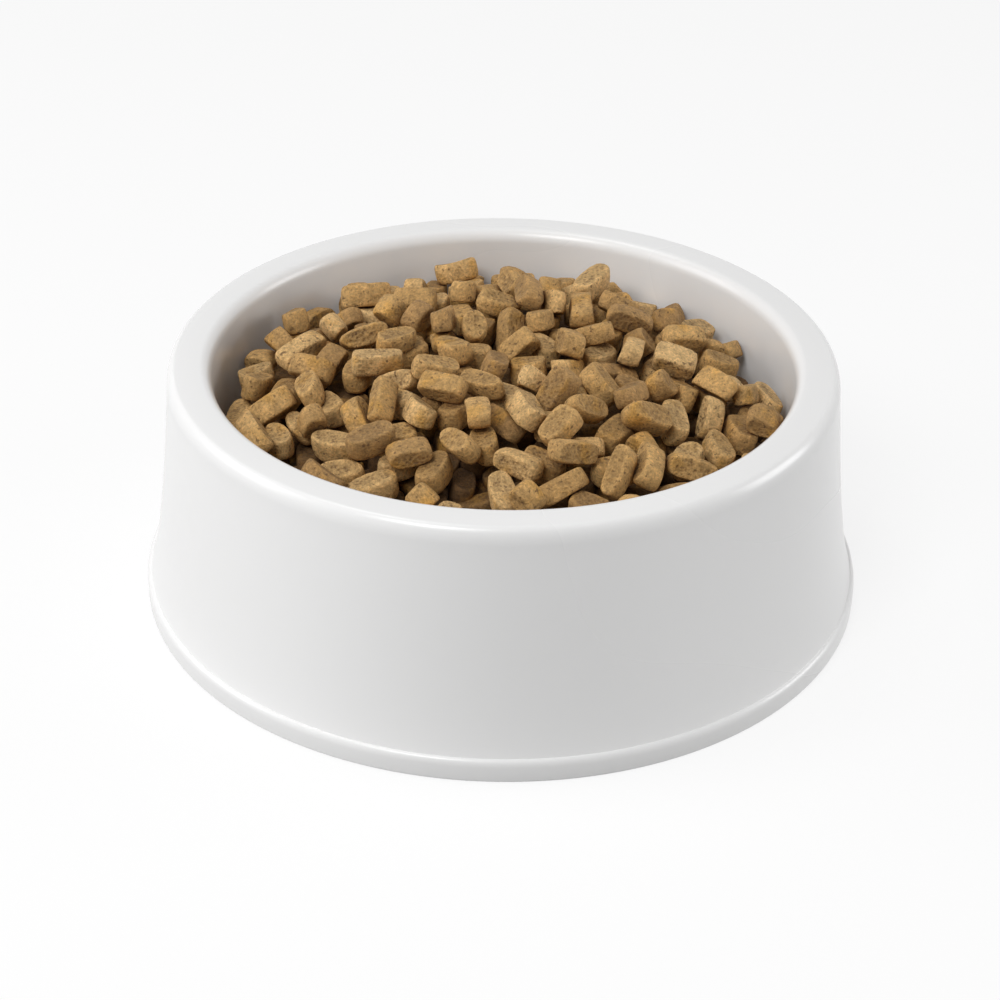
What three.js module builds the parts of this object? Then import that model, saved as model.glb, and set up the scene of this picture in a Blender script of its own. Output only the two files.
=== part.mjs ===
// A filled pet food bowl: one moulded shell, the kibble that fills its basin, and the kibbles on top of it.
// Millimetres, +Z up. The origin is the middle of the circle that the foot stands on.
import * as THREE from "three";

// Outside of the bowl
const BOWL_HEIGHT = 65;
const FOOT_RADIUS = 95;
const RIM_RADIUS = 86.5;
const FOOT_ROUND = 0.8;
const BEAD_HEIGHT = 6.2; // the foot bead, up to its crease with the skirt
const BEAD_STEP = 1.2; // how far the bead stands out from the skirt
const BEAD_CROWN = 2; // height of the bead's rounded top
const FLARE_HEIGHT = 17; // where the skirt's upper and lower slopes would cross
const FLARE_INSET = 5;
const SHOULDER_WIDTH = 2.5; // the rim's outer edge is a quarter of an ellipse
const SHOULDER_DROP = 4.9;

// Inside of the bowl
const RIM_WIDTH = 11.5; // from the outside of the rim to the basin's mouth
const LIP_WIDTH = 3; // the rim's inner edge is a quarter of an ellipse
const LIP_DROP = 4;
const BASIN_FLOOR = 11; // height of the food side of the floor
const BASIN_CORNER = 18;
const BASIN_DRAFT = THREE.MathUtils.degToRad(5);

// Walls of the shell, which is open underneath
const SKIRT_WALL = 2.6;
const BASIN_WALL = 2.6;
const CROWN_WALL = 3;

// Kibble
const BED_EDGE = 46; // height of the filling at the basin's wall
const BED_CREST = 56;
const KIBBLE_COUNT = 54;
const KIBBLE_LENGTH = 13;
const KIBBLE_WIDTH = 7.8;
const KIBBLE_THICKNESS = 6.6;
const KIBBLE_END_ROUND = 2.2;
const SHORTEST_KIBBLE = 0.75; // length of the shortest kibble, against the longest
const KIBBLE_TILT = THREE.MathUtils.degToRad(9);

// Clear space between pieces that touch
const CONTACT_GAP = 0.3;
const WALL_CLEARANCE = 1;

// Fineness of the round shapes
const AROUND_BOWL = 64;
const AROUND_KIBBLE = 8;
const FLARE_STEPS = 7;
const EDGE_STEPS = 4;
const SMALL_EDGE_STEPS = 2;
const CORNER_STEPS = 5;
const DOME_STEPS = 6;

const QUARTER_TURN = Math.PI / 2;
const GOLDEN_ANGLE = Math.PI * (3 - Math.sqrt(5));

const mouthRadius = RIM_RADIUS - RIM_WIDTH;
const lipHeight = BOWL_HEIGHT - LIP_DROP;
const underCrown = BOWL_HEIGHT - CROWN_WALL;
const creaseRadius = FOOT_RADIUS - BEAD_STEP;

const shellPlastic = { color: 0xf1f0ee, roughness: 0.28, metalness: 0 };
const bakedKibble = { color: 0x9a7444, roughness: 0.85, metalness: 0 };

function point(radius, height) {
  return new THREE.Vector2(radius, height);
}

function quarterEllipse(centre, width, height, startAngle, steps) {
  const endAngle = startAngle + QUARTER_TURN;
  const curve = new THREE.EllipseCurve(centre.x, centre.y, width, height, startAngle, endAngle);
  return curve.getPoints(steps);
}

function turned(profile, segments) {
  return new THREE.LatheGeometry(profile, segments).rotateX(QUARTER_TURN);
}

// The skirt's section from the bead's crease up to the shoulder, moved inwards by a wall.
function skirtLine(inwards) {
  const curve = new THREE.QuadraticBezierCurve(
    point(creaseRadius - inwards, BEAD_HEIGHT),
    point(FOOT_RADIUS - FLARE_INSET - inwards, FLARE_HEIGHT),
    point(RIM_RADIUS - inwards, BOWL_HEIGHT - SHOULDER_DROP),
  );
  return curve.getPoints(FLARE_STEPS);
}

// Radius of the basin's wall at a height, moved outwards by a wall or inwards by a gap.
function basinRadius(height, outwards) {
  const narrowing = (lipHeight - height) * Math.tan(BASIN_DRAFT);
  return mouthRadius - narrowing + outwards / Math.cos(BASIN_DRAFT);
}

// The basin's section from the middle of its floor up to the given height, moved outwards.
function basinLine(topHeight, outwards) {
  const centreHeight = BASIN_FLOOR + BASIN_CORNER;
  const centreRadius = basinRadius(centreHeight, -BASIN_CORNER);
  const round = BASIN_CORNER + outwards;
  const corner = new THREE.EllipseCurve(
    centreRadius, centreHeight, round, round, -QUARTER_TURN, -BASIN_DRAFT,
  );
  return [
    point(0, BASIN_FLOOR - outwards),
    ...corner.getPoints(CORNER_STEPS),
    point(basinRadius(topHeight, outwards), topHeight),
  ];
}

function footLine() {
  const centre = point(FOOT_RADIUS - FOOT_ROUND, FOOT_ROUND);
  return quarterEllipse(centre, FOOT_ROUND, FOOT_ROUND, -QUARTER_TURN, SMALL_EDGE_STEPS);
}

function beadLine() {
  const centre = point(creaseRadius, BEAD_HEIGHT - BEAD_CROWN);
  return quarterEllipse(centre, BEAD_STEP, BEAD_CROWN, 0, EDGE_STEPS);
}

function shoulderLine() {
  const centre = point(RIM_RADIUS - SHOULDER_WIDTH, BOWL_HEIGHT - SHOULDER_DROP);
  return quarterEllipse(centre, SHOULDER_WIDTH, SHOULDER_DROP, 0, EDGE_STEPS);
}

function lipLine() {
  const centre = point(mouthRadius + LIP_WIDTH, lipHeight);
  return quarterEllipse(centre, LIP_WIDTH, LIP_DROP, QUARTER_TURN, EDGE_STEPS);
}

// The shell's section runs from the floor's underside, round the skirt and the rim, to the floor's food side.
function bowlGeometry() {
  const profile = [
    ...basinLine(underCrown, BASIN_WALL),
    point(RIM_RADIUS - SKIRT_WALL, underCrown),
    ...skirtLine(SKIRT_WALL).reverse(),
    point(creaseRadius - SKIRT_WALL, 0),
    ...footLine(),
    ...beadLine(),
    ...skirtLine(0).slice(1, -1),
    ...shoulderLine(),
    ...lipLine(),
    ...basinLine(lipHeight, 0).slice(0, -1).reverse(),
  ];
  return turned(profile, AROUND_BOWL);
}

function bedRadius() {
  return basinRadius(BED_EDGE, -CONTACT_GAP);
}

// The filling's top is a paraboloid from its crest down to the basin's wall.
function bedHeight(radius) {
  return BED_CREST - (BED_CREST - BED_EDGE) * (radius / bedRadius()) ** 2;
}

function bedSlope(radius) {
  return (-2 * (BED_CREST - BED_EDGE) * radius) / bedRadius() ** 2;
}

function bedGeometry() {
  const dome = [];
  for (let step = DOME_STEPS - 1; step >= 0; step -= 1) {
    const radius = (bedRadius() * step) / DOME_STEPS;
    dome.push(point(radius, bedHeight(radius)));
  }
  return turned([...basinLine(BED_EDGE, -CONTACT_GAP), ...dome], AROUND_BOWL);
}

// The rounded edge of a kibble's cut end, at the given end of its axis.
function cutEdge(axisHeight, startAngle) {
  const centre = point(KIBBLE_WIDTH / 2 - KIBBLE_END_ROUND, axisHeight);
  return quarterEllipse(centre, KIBBLE_END_ROUND, KIBBLE_END_ROUND, startAngle, SMALL_EDGE_STEPS);
}

// One kibble along X: a cut rope of dough with rounded ends, a little flattened.
function kibbleGeometry(length) {
  const half = length / 2;
  const profile = [
    point(0, -half),
    ...cutEdge(KIBBLE_END_ROUND - half, -QUARTER_TURN),
    ...cutEdge(half - KIBBLE_END_ROUND, 0),
    point(0, half),
  ];
  const barrel = new THREE.LatheGeometry(profile, AROUND_KIBBLE);
  return barrel.rotateZ(QUARTER_TURN).scale(1, 1, KIBBLE_THICKNESS / KIBBLE_WIDTH);
}

// An even spread of values from 0 to 1: the fractional part of a multiple of an irrational step.
function spread(index, step) {
  return (index * step) % 1;
}

function tilt(index, step) {
  return KIBBLE_TILT * (2 * spread(index, step) - 1);
}

// Each kibble is cut to its own length, tilted and turned, and lies on a level plane at height 0.
function lyingKibble(index) {
  const length = KIBBLE_LENGTH * THREE.MathUtils.lerp(SHORTEST_KIBBLE, 1, spread(index, Math.SQRT2));
  const geometry = kibbleGeometry(length);
  geometry.rotateX(tilt(index, Math.E));
  geometry.rotateY(tilt(index, Math.LN2));
  geometry.rotateZ(Math.PI * spread(index, Math.PI));
  geometry.computeBoundingBox();
  return geometry.translate(0, 0, CONTACT_GAP - geometry.boundingBox.min.z);
}

// The kibbles are spread over the filling along a sunflower spiral, each laid on the slope where it is.
function kibble(index) {
  const spiralRadius = bedRadius() - KIBBLE_LENGTH / 2 - WALL_CLEARANCE;
  const radius = spiralRadius * Math.sqrt((index + 0.5) / KIBBLE_COUNT);
  const mesh = new THREE.Mesh(lyingKibble(index), new THREE.MeshStandardMaterial(bakedKibble));
  mesh.name = `kibble_${String(index + 1).padStart(2, "0")}`;
  mesh.position.set(radius, 0, bedHeight(radius));
  mesh.rotation.y = -Math.atan(bedSlope(radius));
  const place = new THREE.Group();
  place.rotation.z = index * GOLDEN_ANGLE;
  place.add(mesh);
  return place;
}

const filledBowl = new THREE.Group();

const bowl = new THREE.Mesh(bowlGeometry(), new THREE.MeshStandardMaterial(shellPlastic));
bowl.name = "bowl";
filledBowl.add(bowl);

const bed = new THREE.Mesh(bedGeometry(), new THREE.MeshStandardMaterial(bakedKibble));
bed.name = "kibble_bed";
filledBowl.add(bed);

for (let index = 0; index < KIBBLE_COUNT; index += 1) {
  filledBowl.add(kibble(index));
}

export default filledBowl;
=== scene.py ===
# A filled pet food bowl: one white moulded shell, heaped with loose dry kibble. Metres, +Z up.
import math
import random

import bmesh
import bpy
import numpy as np
from mathutils import Euler, Matrix, Vector, noise


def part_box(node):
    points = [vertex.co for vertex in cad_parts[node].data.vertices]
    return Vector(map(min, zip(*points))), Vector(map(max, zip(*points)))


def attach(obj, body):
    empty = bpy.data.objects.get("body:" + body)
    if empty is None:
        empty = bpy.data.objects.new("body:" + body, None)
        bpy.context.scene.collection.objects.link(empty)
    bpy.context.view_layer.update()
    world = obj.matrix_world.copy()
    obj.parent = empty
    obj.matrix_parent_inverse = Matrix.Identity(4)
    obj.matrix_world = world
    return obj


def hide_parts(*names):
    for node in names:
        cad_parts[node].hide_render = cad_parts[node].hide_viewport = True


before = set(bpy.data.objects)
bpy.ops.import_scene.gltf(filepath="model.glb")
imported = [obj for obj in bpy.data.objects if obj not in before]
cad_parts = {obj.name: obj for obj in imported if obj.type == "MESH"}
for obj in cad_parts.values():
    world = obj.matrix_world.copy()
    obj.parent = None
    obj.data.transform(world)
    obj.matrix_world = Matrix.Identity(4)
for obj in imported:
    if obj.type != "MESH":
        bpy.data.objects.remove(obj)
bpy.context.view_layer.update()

MM = 0.001
GOLDEN_ANGLE = math.pi * (3 - math.sqrt(5))
QUARTER_TURN = math.pi / 2

# Camera, fitted to the bowl's outline in the photograph
CAMERA_AIM = Vector((-0.0005, 0, 0.0207))
CAMERA_DISTANCE = 0.6033
CAMERA_ELEVATION = math.radians(31.26)
CAMERA_ROLL = math.radians(0.84)
CAMERA_LENS = 81.1
CAMERA_SENSOR = 36
CAMERA_CLIP = (0.02, 30)

# Outside of the bowl
BOWL_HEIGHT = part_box("bowl")[1].z
FOOT_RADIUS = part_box("bowl")[1].x
RIM_RADIUS = 86.5 * MM
FOOT_ROUND = 0.8 * MM
BEAD_HEIGHT = 6.2 * MM
BEAD_STEP = 1.2 * MM
BEAD_CROWN = 2.0 * MM
FLARE_HEIGHT = 17 * MM
FLARE_INSET = 5 * MM
SHOULDER_WIDTH = 2.5 * MM
SHOULDER_DROP = 4.9 * MM

# Inside of the bowl, and its walls
RIM_WIDTH = 11.5 * MM
LIP_WIDTH = 3 * MM
LIP_DROP = 4 * MM
BASIN_FLOOR = 11 * MM
BASIN_CORNER = 18 * MM
BASIN_DRAFT = math.radians(5)
SKIRT_WALL = 2.6 * MM
BASIN_WALL = 2.6 * MM
CROWN_WALL = 3 * MM

# Fineness of the bowl
AROUND_BOWL = 160
FOOT_STEPS = 5
BEAD_STEPS = 8
SHOULDER_STEPS = 12
LIP_STEPS = 10
CORNER_STEPS = 12
SKIRT_OUTSIDE_STEPS = 28
SKIRT_INSIDE_STEPS = 20
WALL_SHARES = (0.25, 0.5, 0.75, 1)
SHARP_ANGLE = math.radians(40)
MERGE_REACH = 0.01 * MM

mouth_radius = RIM_RADIUS - RIM_WIDTH
lip_height = BOWL_HEIGHT - LIP_DROP
under_crown = BOWL_HEIGHT - CROWN_WALL
crease_radius = FOOT_RADIUS - BEAD_STEP

# The filling under the loose kibbles
BED_EDGE = 46 * MM
BED_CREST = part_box("kibble_bed")[1].z
BED_GAP = 0.3 * MM
MOUND_DROP = 6 * MM  # how far the mound lies below the filling's top, among the sunk kibbles
MOUND_STEPS = 12
SUNK_COUNT = 190
SUNK_START = 0.4  # angle of the first sunk kibble
SUNK_TILT = math.radians(16)
AROUND_BED = 64

# Loose kibbles
KIBBLE_LENGTHS = (11 * MM, 14.2 * MM)
NUGGET_LENGTHS = (7 * MM, 9 * MM)
NUGGET_SHARE = 0.16
KIBBLE_WIDTHS = (5.8 * MM, 7.2 * MM)
KIBBLE_THICKNESSES = (5.0 * MM, 6.4 * MM)
LYING_SHARES = Vector((1, 0.9, 0.94))  # a cut slab's size against the CAD kibble that it stands for
CORNER_SHARES = (0.16, 0.36)  # cut corners, against the kibble's width
EDGE_ROUND = 0.6 * MM
CUT_RIM = 0.7 * MM
CUT_SINK = 0.22 * MM
FLAT_FACING = 0.98
LUMP_SIZE = 3.6 * MM
LUMP_HEIGHT = 0.7 * MM
LUMP_SPREAD = 100
TAPER = 0.16
BEND = 0.7 * MM
# Colour values of the filling and the sunk kibbles: painted shade, as dark as the deep gaps under the
# loose kibbles
PAINTED_SHADE_TONES = (0, 0.08)
HEAP_TONES = (0.18, 1)

# How the loose kibbles are laid on the heap
LAY_REACHES = (68 * MM, 61 * MM, 48 * MM)
LAY_SPACING = 15 * MM
LAY_CLOSENESS = 2.9  # kibbles in a layer, against the square of its reach in spacings
LAY_JITTER = 6 * MM
LAY_TRIES = 10
LAY_LEAN = math.radians(50)
ROCK_STEPS = 120
ROCK_SHIFT = 2.5 * MM
ROCK_TURN = math.radians(22)
ROUNDING = 0.4 * MM  # what the smoothing takes off a kibble
GRID_STEP = 0.8 * MM
GRID_REACH = 96 * MM
POINTS_PER_EDGE = 9
NO_ROOM = 1.0  # a height that no kibble is kept at
HEAP_DEPTH = 16 * MM
HEAP_SEED = 7

# Groups that the kibbles are joined into
INNER_REACH = 34 * MM
INNER_GROUPS = 5
OUTER_GROUPS = 14

# White plastic
PLASTIC_LOW = (0.855, 0.853, 0.85)
PLASTIC_HIGH = (0.87, 0.868, 0.865)
PLASTIC_ROUGHNESS = (0.24, 0.28)
PLASTIC_IOR = 1.49
CLOUD_SCALE = 16

# Baked kibble: colours from the darkest, a painted shade for the filling under the loose kibbles, to the
# palest, and the scale of each kind of grain
TONE_COLOURS = (
    (0, (0.12, 0.06, 0.02)),
    (0.2, (0.44, 0.255, 0.095)),
    (0.45, (0.58, 0.345, 0.125)),
    (0.75, (0.69, 0.42, 0.16)),
    (1, (0.80, 0.53, 0.24)),
)
# Painted shade: how much the colour is darkened where the ambient occlusion finds kibbles close together
PAINTED_CREVICE_SHADE = (
    (0.1, (0.26, 0.16, 0.07)),
    (0.4, (0.7, 0.64, 0.55)),
    (0.75, (1, 1, 1)),
)
GOLDEN_COLOUR = (0.68, 0.36, 0.075, 1)
# Painted shade in the pits
PAINTED_PIT_SHADE = (0.20, 0.10, 0.03, 1)
SPECK_COLOUR = (0.13, 0.07, 0.03, 1)
PATCH_SCALE = 140
MOTTLE_SCALE = 260
NUB_SCALE = 430
SPECK_SCALE = 820
PIT_SCALE = 950
GRAIN_SCALE = 1500
# Reach and samples of the ambient occlusion that paints the shade between kibbles
PAINTED_SHADE_REACH = 4 * MM
PAINTED_SHADE_SAMPLES = 8
KIBBLE_BUMP = 0.6 * MM
KIBBLE_ROUGHNESS = (0.6, 0.85)
KIBBLE_SPECULAR = 0.4

# Floor and light
FLOOR_RADIUS = 6
AROUND_FLOOR = 64
FLOOR_BOUNCE = (0.5, 0.5, 0.5, 1)
FLOOR_SEEN = (0.95, 0.95, 0.95, 1)
FLOOR_GLOW = 0.8
FLOOR_ROUGHNESS = 0.9
FLOOR_SPECULAR = 0.1
SKY_LIGHT = 0.24
SKY_SEEN = 1
LAMPS = (  # name, place, width and watts
    ("left_lamp", (-1.2, -0.05, 0.5), 0.8, 5.8),
    ("right_lamp", (1.2, 0.1, 0.25), 0.6, 6),
    ("front_lamp", (-0.4, -0.75, 1.0), 0.5, 7.4),
    ("top_lamp", (-0.35, 0.15, 1.15), 0.4, 2.4),
)


# Curves and turned shapes

def section_point(radius, height):
    return Vector((radius, 0, height))


def ellipse_arc(centre, width, height, start, end, steps):
    """Points of an ellipse's arc in the section plane."""
    angles = [start + (end - start) * step / steps for step in range(steps + 1)]
    return [centre + section_point(width * math.cos(a), height * math.sin(a)) for a in angles]


def curve_through(start, handle, end, steps):
    """Points of a curve with one handle."""
    shares = [step / steps for step in range(steps + 1)]
    return [start * (1 - t) ** 2 + handle * (2 * t * (1 - t)) + end * t ** 2 for t in shares]


def turned_mesh(name, profile, around):
    """A closed mesh from a section that is spun once round the bowl's axis."""
    shape = bmesh.new()
    points = [shape.verts.new(place) for place in profile]
    edges = [shape.edges.new(pair) for pair in zip(points, points[1:])]
    bmesh.ops.spin(shape, geom=points + edges, cent=(0, 0, 0), axis=(0, 0, 1),
                   angle=2 * math.pi, steps=around, use_merge=True)
    bmesh.ops.remove_doubles(shape, verts=shape.verts, dist=MERGE_REACH)
    bmesh.ops.recalc_face_normals(shape, faces=shape.faces)
    return finished_mesh(name, shape)


def finished_mesh(name, shape):
    mesh = bpy.data.meshes.new(name)
    shape.to_mesh(mesh)
    shape.free()
    mesh.shade_smooth()
    return mesh


def shown_piece(name, mesh, material, nodes):
    """A piece on the one body, which stands for the given CAD nodes."""
    mesh.materials.append(material)
    piece = bpy.data.objects.new(name, mesh)
    bpy.context.scene.collection.objects.link(piece)
    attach(piece, "root")
    if nodes:
        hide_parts(*nodes)
    return piece


# The bowl

def skirt_line(inwards, steps):
    return curve_through(
        section_point(crease_radius - inwards, BEAD_HEIGHT),
        section_point(FOOT_RADIUS - FLARE_INSET - inwards, FLARE_HEIGHT),
        section_point(RIM_RADIUS - inwards, BOWL_HEIGHT - SHOULDER_DROP), steps)


def basin_radius(height, outwards):
    """Radius of the basin's wall at a height, moved outwards by a wall or inwards by a gap."""
    return mouth_radius - (lip_height - height) * math.tan(BASIN_DRAFT) + outwards / math.cos(BASIN_DRAFT)


def basin_line(top, outwards):
    """The basin's section from the middle of its floor up to a height."""
    centre_height = BASIN_FLOOR + BASIN_CORNER
    centre = section_point(basin_radius(centre_height, -BASIN_CORNER), centre_height)
    round_size = BASIN_CORNER + outwards
    corner = ellipse_arc(centre, round_size, round_size, -QUARTER_TURN, -BASIN_DRAFT, CORNER_STEPS)
    floor = [section_point(centre.x * share, BASIN_FLOOR - outwards) for share in (0, 0.5)]
    wall_foot = corner[-1]
    wall_top = section_point(basin_radius(top, outwards), top)
    wall = [wall_foot.lerp(wall_top, share) for share in WALL_SHARES]
    return floor + corner + wall


def foot_line():
    centre = section_point(FOOT_RADIUS - FOOT_ROUND, FOOT_ROUND)
    return ellipse_arc(centre, FOOT_ROUND, FOOT_ROUND, -QUARTER_TURN, 0, FOOT_STEPS)


def bead_line():
    centre = section_point(crease_radius, BEAD_HEIGHT - BEAD_CROWN)
    return ellipse_arc(centre, BEAD_STEP, BEAD_CROWN, 0, QUARTER_TURN, BEAD_STEPS)


def shoulder_line():
    centre = section_point(RIM_RADIUS - SHOULDER_WIDTH, BOWL_HEIGHT - SHOULDER_DROP)
    return ellipse_arc(centre, SHOULDER_WIDTH, SHOULDER_DROP, 0, QUARTER_TURN, SHOULDER_STEPS)


def lip_line():
    centre = section_point(mouth_radius + LIP_WIDTH, lip_height)
    return ellipse_arc(centre, LIP_WIDTH, LIP_DROP, QUARTER_TURN, 2 * QUARTER_TURN, LIP_STEPS)


def bowl_section():
    """From the floor's underside, round the skirt and the rim, to the floor's food side."""
    underside = basin_line(under_crown, BASIN_WALL)
    under_rim = [section_point(RIM_RADIUS - SKIRT_WALL, under_crown)]
    skirt_inside = skirt_line(SKIRT_WALL, SKIRT_INSIDE_STEPS)[::-1]
    foot_inside = [section_point(crease_radius - SKIRT_WALL, 0)]
    skirt_outside = skirt_line(0, SKIRT_OUTSIDE_STEPS)[1:-1]
    food_side = basin_line(lip_height, 0)[-2::-1]
    return (underside + under_rim + skirt_inside + foot_inside + foot_line() + bead_line()
            + skirt_outside + shoulder_line() + lip_line() + food_side)


def bowl_piece():
    mesh = turned_mesh("bowl_shell", bowl_section(), AROUND_BOWL)
    mesh.set_sharp_from_angle(angle=SHARP_ANGLE)
    return shown_piece("bowl_shell", mesh, white_plastic(), ["bowl"])


# One kibble

def picked_size(rng):
    """Length, width and thickness of one loose kibble; some are short nuggets."""
    lengths = NUGGET_LENGTHS if rng.random() < NUGGET_SHARE else KIBBLE_LENGTHS
    return Vector((rng.uniform(*lengths), rng.uniform(*KIBBLE_WIDTHS), rng.uniform(*KIBBLE_THICKNESSES)))


def cut_faces(shape):
    """The two flat faces where the rope of dough was cut."""
    shape.normal_update()
    flat = [face for face in shape.faces if abs(face.normal.z) > FLAT_FACING]
    return sorted(flat, key=lambda face: face.calc_area())[-2:]


def warp(shape, size, rng):
    """Tapers, bends and dents a kibble, each one in its own way."""
    taper = rng.uniform(-TAPER, TAPER)
    slant = rng.uniform(-TAPER, TAPER)
    bend = rng.uniform(-BEND, BEND)
    curl = rng.uniform(-BEND, BEND)
    seat = Vector((rng.random(), rng.random(), rng.random())) * LUMP_SPREAD
    for vert in shape.verts:
        along = 2 * vert.co.x / size.x
        across = 2 * vert.co.y / size.y
        vert.co.y = vert.co.y * (1 + taper * along) + bend * along ** 2
        vert.co.z = vert.co.z * (1 + slant * across) + curl * along ** 2
        vert.co += noise.noise_vector(vert.co / LUMP_SIZE + seat) * LUMP_HEIGHT


def slab_outline(size, corner):
    """The eight points of a rectangle with cut corners, in order."""
    end = size.x / 2
    side = size.y / 2
    right = [(end - corner, -side), (end, corner - side), (end, side - corner), (end - corner, side)]
    left = [(-x, -y) for x, y in right]
    return right + left


def kibble_mesh(name, size, rng):
    """One kibble at the origin, along X: a thick cut slab with rounded corners and two rough cut faces."""
    body = size.z - 2 * EDGE_ROUND
    corner = size.y * rng.uniform(*CORNER_SHARES)
    shape = bmesh.new()
    outline = [shape.verts.new((x, y, -body / 2)) for x, y in slab_outline(size, corner)]
    grown = bmesh.ops.extrude_face_region(shape, geom=[shape.faces.new(outline)])
    top = [part for part in grown["geom"] if isinstance(part, bmesh.types.BMVert)]
    bmesh.ops.translate(shape, vec=(0, 0, body), verts=top)
    bmesh.ops.recalc_face_normals(shape, faces=shape.faces)
    bmesh.ops.inset_individual(shape, faces=cut_faces(shape), thickness=EDGE_ROUND, depth=EDGE_ROUND,
                               use_even_offset=True)
    bmesh.ops.inset_individual(shape, faces=cut_faces(shape), thickness=CUT_RIM, depth=-CUT_SINK,
                               use_even_offset=True)
    cut = shape.verts.layers.float.new("cut")
    for face in cut_faces(shape):
        for vert in face.verts:
            vert[cut] = 1
    warp(shape, size, rng)
    return finished_mesh(name, shape)


# Where the kibbles lie

def cad_kibbles():
    return sorted(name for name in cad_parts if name.startswith("kibble_") and name != "kibble_bed")


def lie_of(node):
    """The place, turn and size of a CAD kibble, from the spread of its points."""
    points = np.array([vert.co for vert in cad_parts[node].data.vertices])
    middle = points.mean(axis=0)
    axes = np.linalg.eigh(np.cov((points - middle).T))[1][:, ::-1]
    axes[:, 2] = np.cross(axes[:, 0], axes[:, 1])
    along = (points - middle) @ axes
    low, high = along.min(axis=0), along.max(axis=0)
    place = Matrix.Translation(Vector(middle + axes @ ((low + high) / 2)))
    return place @ Matrix(axes.tolist()).to_4x4(), Vector(high - low)


def bed_height(radius):
    """Height of the filling's top, which is a paraboloid."""
    return BED_CREST - (BED_CREST - BED_EDGE) * (radius / basin_radius(BED_EDGE, -BED_GAP)) ** 2


def sunflower(count, reach, start):
    """Places spread evenly over a disc."""
    for index in range(count):
        radius = reach * math.sqrt((index + 0.5) / count)
        angle = start + index * GOLDEN_ANGLE
        yield Vector((radius * math.cos(angle), radius * math.sin(angle), 0))


def random_turn(rng, tilt):
    """A turn any way round, tilted by up to the given angle."""
    angles = (rng.uniform(-tilt, tilt), rng.uniform(-tilt, tilt), rng.uniform(0, 2 * math.pi))
    return Euler(angles).to_matrix()


# Laying the loose kibbles, on a grid of the heap's heights

def lay_spots():
    """Where the loose kibbles are laid, in layers that get narrower upwards."""
    spots = []
    for layer, reach in enumerate(LAY_REACHES):
        count = round(LAY_CLOSENESS * (reach / LAY_SPACING) ** 2)
        spots += sunflower(count, reach, layer)
    return spots


def surface_points(mesh):
    """Points close together all over a kibble."""
    shape = bmesh.new()
    shape.from_mesh(mesh)
    bmesh.ops.triangulate(shape, faces=shape.faces)
    bmesh.ops.subdivide_edges(shape, edges=shape.edges, cuts=POINTS_PER_EDGE, use_grid_fill=True)
    points = np.array([vert.co for vert in shape.verts])
    shape.free()
    return points


def grid_cells(points):
    cells = ((points[:, :2] + GRID_REACH) / GRID_STEP).astype(int)
    return cells[:, 0], cells[:, 1]


def bare_heights():
    """The filling's top before any kibble lies on it, with no room on the basin's wall."""
    middles = np.arange(-GRID_REACH, GRID_REACH, GRID_STEP) + GRID_STEP / 2
    radius = np.hypot(middles[:, None], middles[None, :])
    return np.where(radius < basin_radius(BED_EDGE, -BED_GAP), bed_height(radius), NO_ROOM)


def raise_heights(heights, points, place):
    """Adds a kibble that lies at a place to the heights."""
    placed = points @ np.array(place.to_3x3()).T + np.array(place.translation)
    np.maximum.at(heights, grid_cells(placed), placed[:, 2])


def set_down(points, turn, spot, heights):
    """The place of a turned kibble that is let down over a spot until it touches the heap."""
    turned = points @ np.array(turn).T + np.array((spot.x, spot.y, 0))
    height = (heights[grid_cells(turned)] - turned[:, 2]).max() - ROUNDING
    return Matrix.Translation((spot.x, spot.y, height)) @ turn.to_4x4()


def shifted(spot, reach, rng):
    return spot + Vector((rng.uniform(-reach, reach), rng.uniform(-reach, reach), 0))


def rolled_turn(rng):
    """A turn with any side of the kibble up, and its length not far from level."""
    return random_turn(rng, LAY_LEAN) @ Matrix.Rotation(rng.uniform(0, 2 * math.pi), 3, "X")


def rock_turn(rng, reach):
    return Euler([rng.uniform(-reach, reach) for axis in range(3)]).to_matrix()


def laid(points, spot, heights, rng):
    """The lowest of some places near a spot, rocked by smaller and smaller steps until it settles."""
    tries = [set_down(points, rolled_turn(rng), shifted(spot, LAY_JITTER, rng), heights)
             for attempt in range(LAY_TRIES)]
    place = min(tries, key=lambda tried: tried.translation.z)
    for step in range(ROCK_STEPS):
        share = 1 - step / ROCK_STEPS
        turn = rock_turn(rng, ROCK_TURN * share) @ place.to_3x3()
        rocked = set_down(points, turn, shifted(place.translation, ROCK_SHIFT * share, rng), heights)
        if rocked.translation.z < place.translation.z:
            place = rocked
    return place


def in_the_heap(mesh, place):
    """False for a kibble that found no room in the bowl, or that stands well above the heap."""
    reach = place.translation.xy.length
    top = max((place @ vert.co).z for vert in mesh.vertices)
    return reach < mouth_radius and bed_height(reach) < top < bed_height(reach) + HEAP_DEPTH


# Groups of kibbles

def joined_kibbles(name, kibbles, tone_range, rng):
    """One mesh of many kibbles, each with a colour value of its own, which on the filling gives painted
    shade.
    """
    shape = bmesh.new()
    tones = []
    for mesh, place in kibbles:
        placed = mesh.copy()
        placed.transform(place)
        shape.from_mesh(placed)
        tones += [rng.uniform(*tone_range)] * len(placed.vertices)
        bpy.data.meshes.remove(placed)
    mesh = finished_mesh(name, shape)
    tone_and_shade = mesh.attributes.new("tone_and_shade", "FLOAT", "POINT")
    tone_and_shade.data.foreach_set("value", tones)
    return mesh


def smoothed(piece):
    finer = piece.modifiers.new("rounded", "SUBSURF")
    finer.levels = 1
    finer.render_levels = 1
    return piece


def group_of(place):
    """The name of the sector that a kibble belongs to, near the middle or near the wall."""
    spot = place.translation.xy
    turn = math.atan2(spot.y, spot.x) / (2 * math.pi) % 1
    if spot.length < INNER_REACH:
        return f"kibbles_middle_{int(turn * INNER_GROUPS) + 1:02d}"
    return f"kibbles_wall_{int(turn * OUTER_GROUPS) + 1:02d}"


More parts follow.
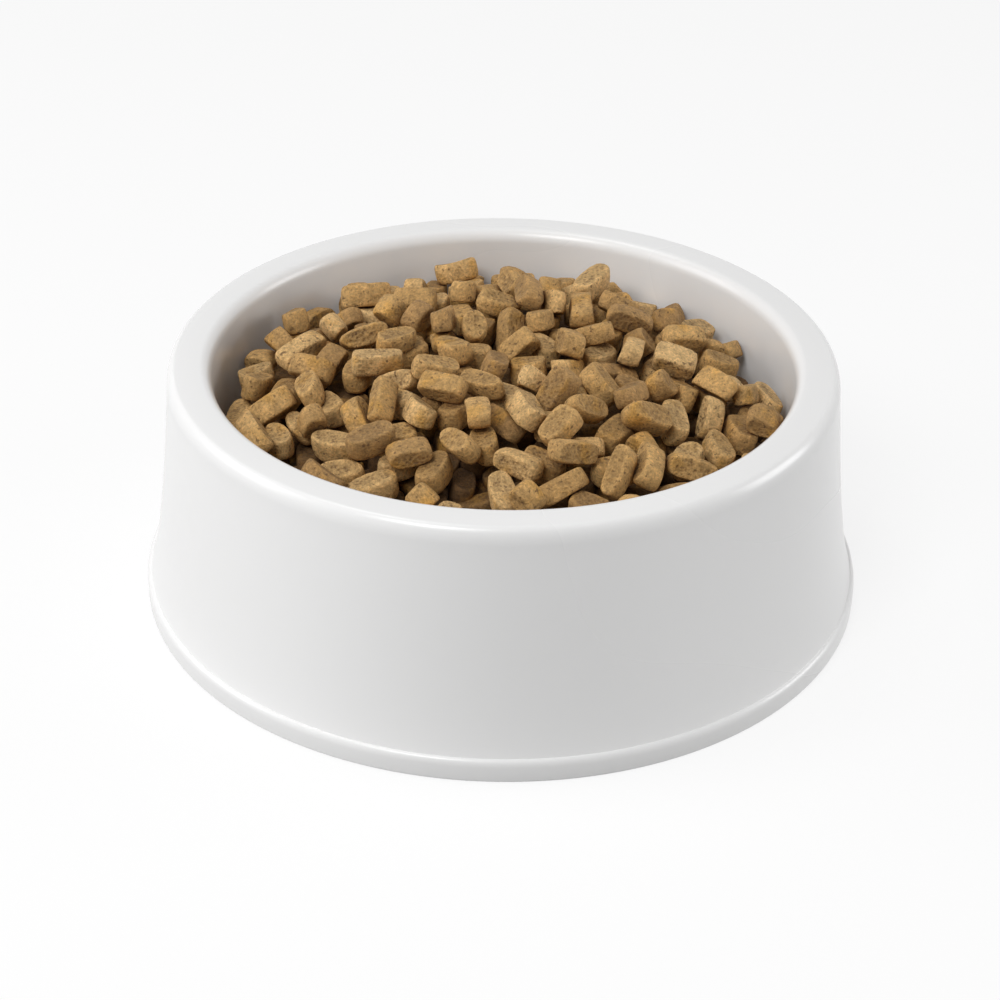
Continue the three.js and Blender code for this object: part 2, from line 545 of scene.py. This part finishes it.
def bed_section():
    """The filling's section: along the basin, then back over a mound that the sunk kibbles stand on."""
    reach = basin_radius(BED_EDGE - MOUND_DROP, -BED_GAP)
    mound = []
    for step in reversed(range(MOUND_STEPS)):
        radius = reach * step / MOUND_STEPS
        mound.append(section_point(radius, bed_height(radius) - MOUND_DROP))
    return basin_line(BED_EDGE - MOUND_DROP, -BED_GAP) + mound


def sunk_kibbles(rng):
    """Kibbles that are half sunk in the mound, with their tops just under the filling's top."""
    kibbles = []
    reach = basin_radius(BED_EDGE, -BED_GAP) - KIBBLE_LENGTHS[1] / 2
    for index, spot in enumerate(sunflower(SUNK_COUNT, reach, SUNK_START)):
        size = picked_size(rng)
        mesh = kibble_mesh(f"sunk_{index}", size, rng)
        turn = random_turn(rng, SUNK_TILT)
        top = max((turn @ vert.co).z for vert in mesh.vertices)
        spot.z = bed_height(spot.xy.length) - top - BED_GAP
        kibbles.append((mesh, Matrix.Translation(spot) @ turn.to_4x4()))
    return kibbles


def bed_piece(rng, gold):
    mound = turned_mesh("mound", bed_section(), AROUND_BED)
    here = Matrix.Identity(4)
    # The filling and the sunk kibbles take the darkest colours: painted shade, seen through the gaps in
    # the heap
    mesh = joined_kibbles("kibble_filling", [(mound, here)] + sunk_kibbles(rng), PAINTED_SHADE_TONES, rng)
    return smoothed(shown_piece("kibble_filling", mesh, gold, ["kibble_bed"]))


def heap_pieces(rng, gold):
    """The kibbles on top: those of the CAD where they are, and loose ones laid on them."""
    heights = bare_heights()
    groups = {}
    for node in cad_kibbles():
        place, size = lie_of(node)
        mesh = kibble_mesh(node, size * LYING_SHARES, rng)
        raise_heights(heights, surface_points(mesh), place)
        kibbles, nodes = groups.setdefault(group_of(place), ([], []))
        kibbles.append((mesh, place))
        nodes.append(node)
    for index, spot in enumerate(lay_spots()):
        mesh = kibble_mesh(f"loose_{index}", picked_size(rng), rng)
        points = surface_points(mesh)
        place = laid(points, spot, heights, rng)
        if in_the_heap(mesh, place):
            raise_heights(heights, points, place)
            groups.setdefault(group_of(place), ([], []))[0].append((mesh, place))
    for name, (kibbles, nodes) in sorted(groups.items()):
        mesh = joined_kibbles(name, kibbles, HEAP_TONES, rng)
        smoothed(shown_piece(name, mesh, gold, nodes))


# Materials

def new_material(name):
    material = bpy.data.materials.new(name)
    material.use_nodes = True
    return material, material.node_tree, material.node_tree.nodes["Principled BSDF"]


def add_node(tree, kind, **values):
    """A node with some of its inputs set by name."""
    made = tree.nodes.new(kind)
    for name, value in values.items():
        made.inputs[name.replace("_", " ")].default_value = value
    return made


def noise_of(tree, place, scale, detail, roughness):
    made = add_node(tree, "ShaderNodeTexNoise", Scale=scale, Detail=detail, Roughness=roughness)
    tree.links.new(place, made.inputs["Vector"])
    return made.outputs["Fac"]


def ramp_of(tree, factor, *stops):
    """A colour ramp with the given places and colours."""
    made = tree.nodes.new("ShaderNodeValToRGB")
    made.color_ramp.elements[0].position = stops[0][0]
    made.color_ramp.elements[0].color = (*stops[0][1], 1)
    made.color_ramp.elements[1].position = stops[-1][0]
    made.color_ramp.elements[1].color = (*stops[-1][1], 1)
    for place, colour in stops[1:-1]:
        made.color_ramp.elements.new(place).color = (*colour, 1)
    tree.links.new(factor, made.inputs["Fac"])
    return made.outputs["Color"]


def range_of(tree, value, low, high, to_low, to_high):
    made = add_node(tree, "ShaderNodeMapRange", From_Min=low, From_Max=high, To_Min=to_low, To_Max=to_high)
    tree.links.new(value, made.inputs["Value"])
    return made.outputs["Result"]


def mixed(tree, blend, factor, first, second):
    """A colour mix; the factor and the second colour are sockets or plain values."""
    made = tree.nodes.new("ShaderNodeMix")
    made.data_type = "RGBA"
    made.blend_type = blend
    for socket, value in ((made.inputs[0], factor), (made.inputs[6], first), (made.inputs[7], second)):
        if isinstance(value, bpy.types.NodeSocket):
            tree.links.new(value, socket)
        else:
            socket.default_value = value
    return made.outputs[2]


def maths(tree, operation, first, second):
    made = tree.nodes.new("ShaderNodeMath")
    made.operation = operation
    for socket, value in zip(made.inputs, (first, second)):
        if isinstance(value, bpy.types.NodeSocket):
            tree.links.new(value, socket)
        else:
            socket.default_value = value
    return made.outputs[0]


def attribute(tree, name):
    made = tree.nodes.new("ShaderNodeAttribute")
    made.attribute_name = name
    return made.outputs["Fac"]


def bump_of(tree, height, strength, distance):
    made = add_node(tree, "ShaderNodeBump", Strength=strength, Distance=distance)
    tree.links.new(height, made.inputs["Height"])
    return made.outputs["Normal"]


def white_plastic():
    """Gloss white plastic with a faint unevenness of colour and gloss."""
    material, tree, shader = new_material("white_plastic")
    place = tree.nodes.new("ShaderNodeTexCoord").outputs["Object"]
    cloud = noise_of(tree, place, CLOUD_SCALE, 0, 0.5)
    colour = ramp_of(tree, cloud, (0.3, PLASTIC_LOW), (0.7, PLASTIC_HIGH))
    tree.links.new(colour, shader.inputs["Base Color"])
    tree.links.new(range_of(tree, cloud, 0.3, 0.7, *PLASTIC_ROUGHNESS), shader.inputs["Roughness"])
    shader.inputs["IOR"].default_value = PLASTIC_IOR
    return material


def baked_kibble():
    """Dry baked meal: golden to grey brown, grainy, specked, and pitted on the cut faces, with painted
    shade in the pits, in the hollows of the nubs, between kibbles and on the filling.
    """
    material, tree, shader = new_material("baked_kibble")
    place = tree.nodes.new("ShaderNodeTexCoord").outputs["Object"]
    tone_and_shade = attribute(tree, "tone_and_shade")
    cut = attribute(tree, "cut")
    mottle = noise_of(tree, place, MOTTLE_SCALE, 3, 0.6)
    patch = noise_of(tree, place, PATCH_SCALE, 2, 0.5)
    grain = noise_of(tree, place, GRAIN_SCALE, 5, 0.7)
    speck = noise_of(tree, place, SPECK_SCALE, 2, 0.5)
    pits = tree.nodes.new("ShaderNodeTexVoronoi")
    pits.inputs["Scale"].default_value = PIT_SCALE
    tree.links.new(place, pits.inputs["Vector"])
    pit_depth = range_of(tree, pits.outputs["Distance"], 0.1, 0.55, 1, 0)
    pit_show = maths(tree, "MULTIPLY", pit_depth, range_of(tree, cut, 0, 1, 0.25, 1))

    # The lowest values, on the filling, give painted shade; the rest differ at random from kibble to
    # kibble
    colour = ramp_of(tree, tone_and_shade, *TONE_COLOURS)
    golden = range_of(tree, patch, 0.56, 0.72, 0, 0.7)
    colour = mixed(tree, "MIX", golden, colour, GOLDEN_COLOUR)
    colour = mixed(tree, "MULTIPLY", 1.0, colour, range_of(tree, cut, 0, 1, 1.1, 0.85))
    shade = range_of(tree, mottle, 0.3, 0.7, 0.8, 1.15)
    colour = mixed(tree, "MULTIPLY", 1.0, colour, shade)
    colour = mixed(tree, "MULTIPLY", 1.0, colour, range_of(tree, grain, 0.3, 0.7, 0.55, 1.3))
    nubs = noise_of(tree, place, NUB_SCALE, 3, 0.6)
    # Painted shade: the colour is darkened in the hollows of the nubs, which the bump below sinks
    colour = mixed(tree, "MULTIPLY", 1.0, colour, range_of(tree, nubs, 0.34, 0.54, 0.8, 1.04))
    # Painted shade: the pits, which the bump sinks, are mixed towards a dark brown
    colour = mixed(tree, "MIX", maths(tree, "MULTIPLY", pit_show, 0.6), colour, PAINTED_PIT_SHADE)
    colour = mixed(tree, "MIX", range_of(tree, speck, 0.62, 0.7, 0, 0.75), colour, SPECK_COLOUR)
    # Painted shade: the colour is darkened in the gaps between kibbles, by ambient occlusion
    painted_shade_occlusion = add_node(tree, "ShaderNodeAmbientOcclusion", Distance=PAINTED_SHADE_REACH)
    painted_shade_occlusion.samples = PAINTED_SHADE_SAMPLES
    shadow = ramp_of(tree, painted_shade_occlusion.outputs["AO"], *PAINTED_CREVICE_SHADE)
    colour = mixed(tree, "MULTIPLY", 1.0, colour, shadow)
    tree.links.new(colour, shader.inputs["Base Color"])

    bumps = maths(tree, "ADD", grain, maths(tree, "MULTIPLY", nubs, 1.4))
    rough_height = maths(tree, "SUBTRACT", bumps, maths(tree, "MULTIPLY", pit_show, 0.5))
    tree.links.new(bump_of(tree, rough_height, 1.0, KIBBLE_BUMP), shader.inputs["Normal"])
    tree.links.new(range_of(tree, grain, 0.3, 0.7, *KIBBLE_ROUGHNESS), shader.inputs["Roughness"])
    shader.inputs["Specular IOR Level"].default_value = KIBBLE_SPECULAR
    return material


# Camera, floor and light

def add_camera():
    scene = bpy.context.scene
    data = bpy.data.cameras.new("camera")
    data.sensor_width = CAMERA_SENSOR
    data.lens = CAMERA_LENS
    data.clip_start, data.clip_end = CAMERA_CLIP
    camera = bpy.data.objects.new("camera", data)
    scene.collection.objects.link(camera)
    back = Vector((0, -math.cos(CAMERA_ELEVATION), math.sin(CAMERA_ELEVATION)))
    camera.location = CAMERA_AIM + back * CAMERA_DISTANCE
    turn = back.to_track_quat("Z", "Y").to_matrix() @ Matrix.Rotation(CAMERA_ROLL, 3, "Z")
    camera.rotation_euler = turn.to_euler()
    scene.camera = camera


def seen_directly(tree):
    """1 where the camera, a reflection or a view through something sees the surface."""
    path = tree.nodes.new("ShaderNodeLightPath")
    seen = maths(tree, "MAXIMUM", path.outputs["Is Camera Ray"], path.outputs["Is Glossy Ray"])
    return maths(tree, "MAXIMUM", seen, path.outputs["Is Transmission Ray"])


def add_floor():
    """A white floor that keeps the bowl's soft shadow."""
    shape = bmesh.new()
    bmesh.ops.create_circle(shape, cap_ends=True, segments=AROUND_FLOOR, radius=FLOOR_RADIUS)
    floor = bpy.data.objects.new("floor", finished_mesh("floor", shape))
    bpy.context.scene.collection.objects.link(floor)
    material, tree, shader = new_material("white_floor")
    seen = seen_directly(tree)
    colour = mixed(tree, "MIX", seen, FLOOR_BOUNCE, FLOOR_SEEN)
    tree.links.new(colour, shader.inputs["Base Color"])
    shader.inputs["Roughness"].default_value = FLOOR_ROUGHNESS
    shader.inputs["Specular IOR Level"].default_value = FLOOR_SPECULAR
    glow = add_node(tree, "ShaderNodeEmission", Color=(1, 1, 1, 1), Strength=1)
    blend = tree.nodes.new("ShaderNodeMixShader")
    tree.links.new(maths(tree, "MULTIPLY", seen, FLOOR_GLOW), blend.inputs["Fac"])
    tree.links.new(shader.outputs["BSDF"], blend.inputs[1])
    tree.links.new(glow.outputs["Emission"], blend.inputs[2])
    tree.links.new(blend.outputs["Shader"], tree.nodes["Material Output"].inputs["Surface"])
    material.cycles.emission_sampling = "NONE"
    floor.data.materials.append(material)


def add_world():
    world = bpy.data.worlds.new("studio")
    bpy.context.scene.world = world
    world.use_nodes = True
    tree = world.node_tree
    sky = tree.nodes["Background"]
    sky.inputs["Color"].default_value = (1, 1, 1, 1)
    strength = range_of(tree, seen_directly(tree), 0, 1, SKY_LIGHT, SKY_SEEN)
    tree.links.new(strength, sky.inputs["Strength"])


def add_lamp(name, place, width, watts):
    """A square soft lamp that faces the bowl."""
    data = bpy.data.lights.new(name, "AREA")
    data.size = width
    data.energy = watts
    lamp = bpy.data.objects.new(name, data)
    bpy.context.scene.collection.objects.link(lamp)
    lamp.location = place
    lamp.rotation_euler = Vector(place).to_track_quat("Z", "Y").to_euler()


def add_lamps():
    for lamp in LAMPS:
        add_lamp(*lamp)


def main():
    bpy.context.scene.view_settings.view_transform = "Standard"
    add_camera()
    add_floor()
    add_world()
    add_lamps()
    rng = random.Random(HEAP_SEED)
    noise.seed_set(HEAP_SEED)
    gold = baked_kibble()
    bowl_piece()
    bed_piece(rng, gold)
    heap_pieces(rng, gold)


main()
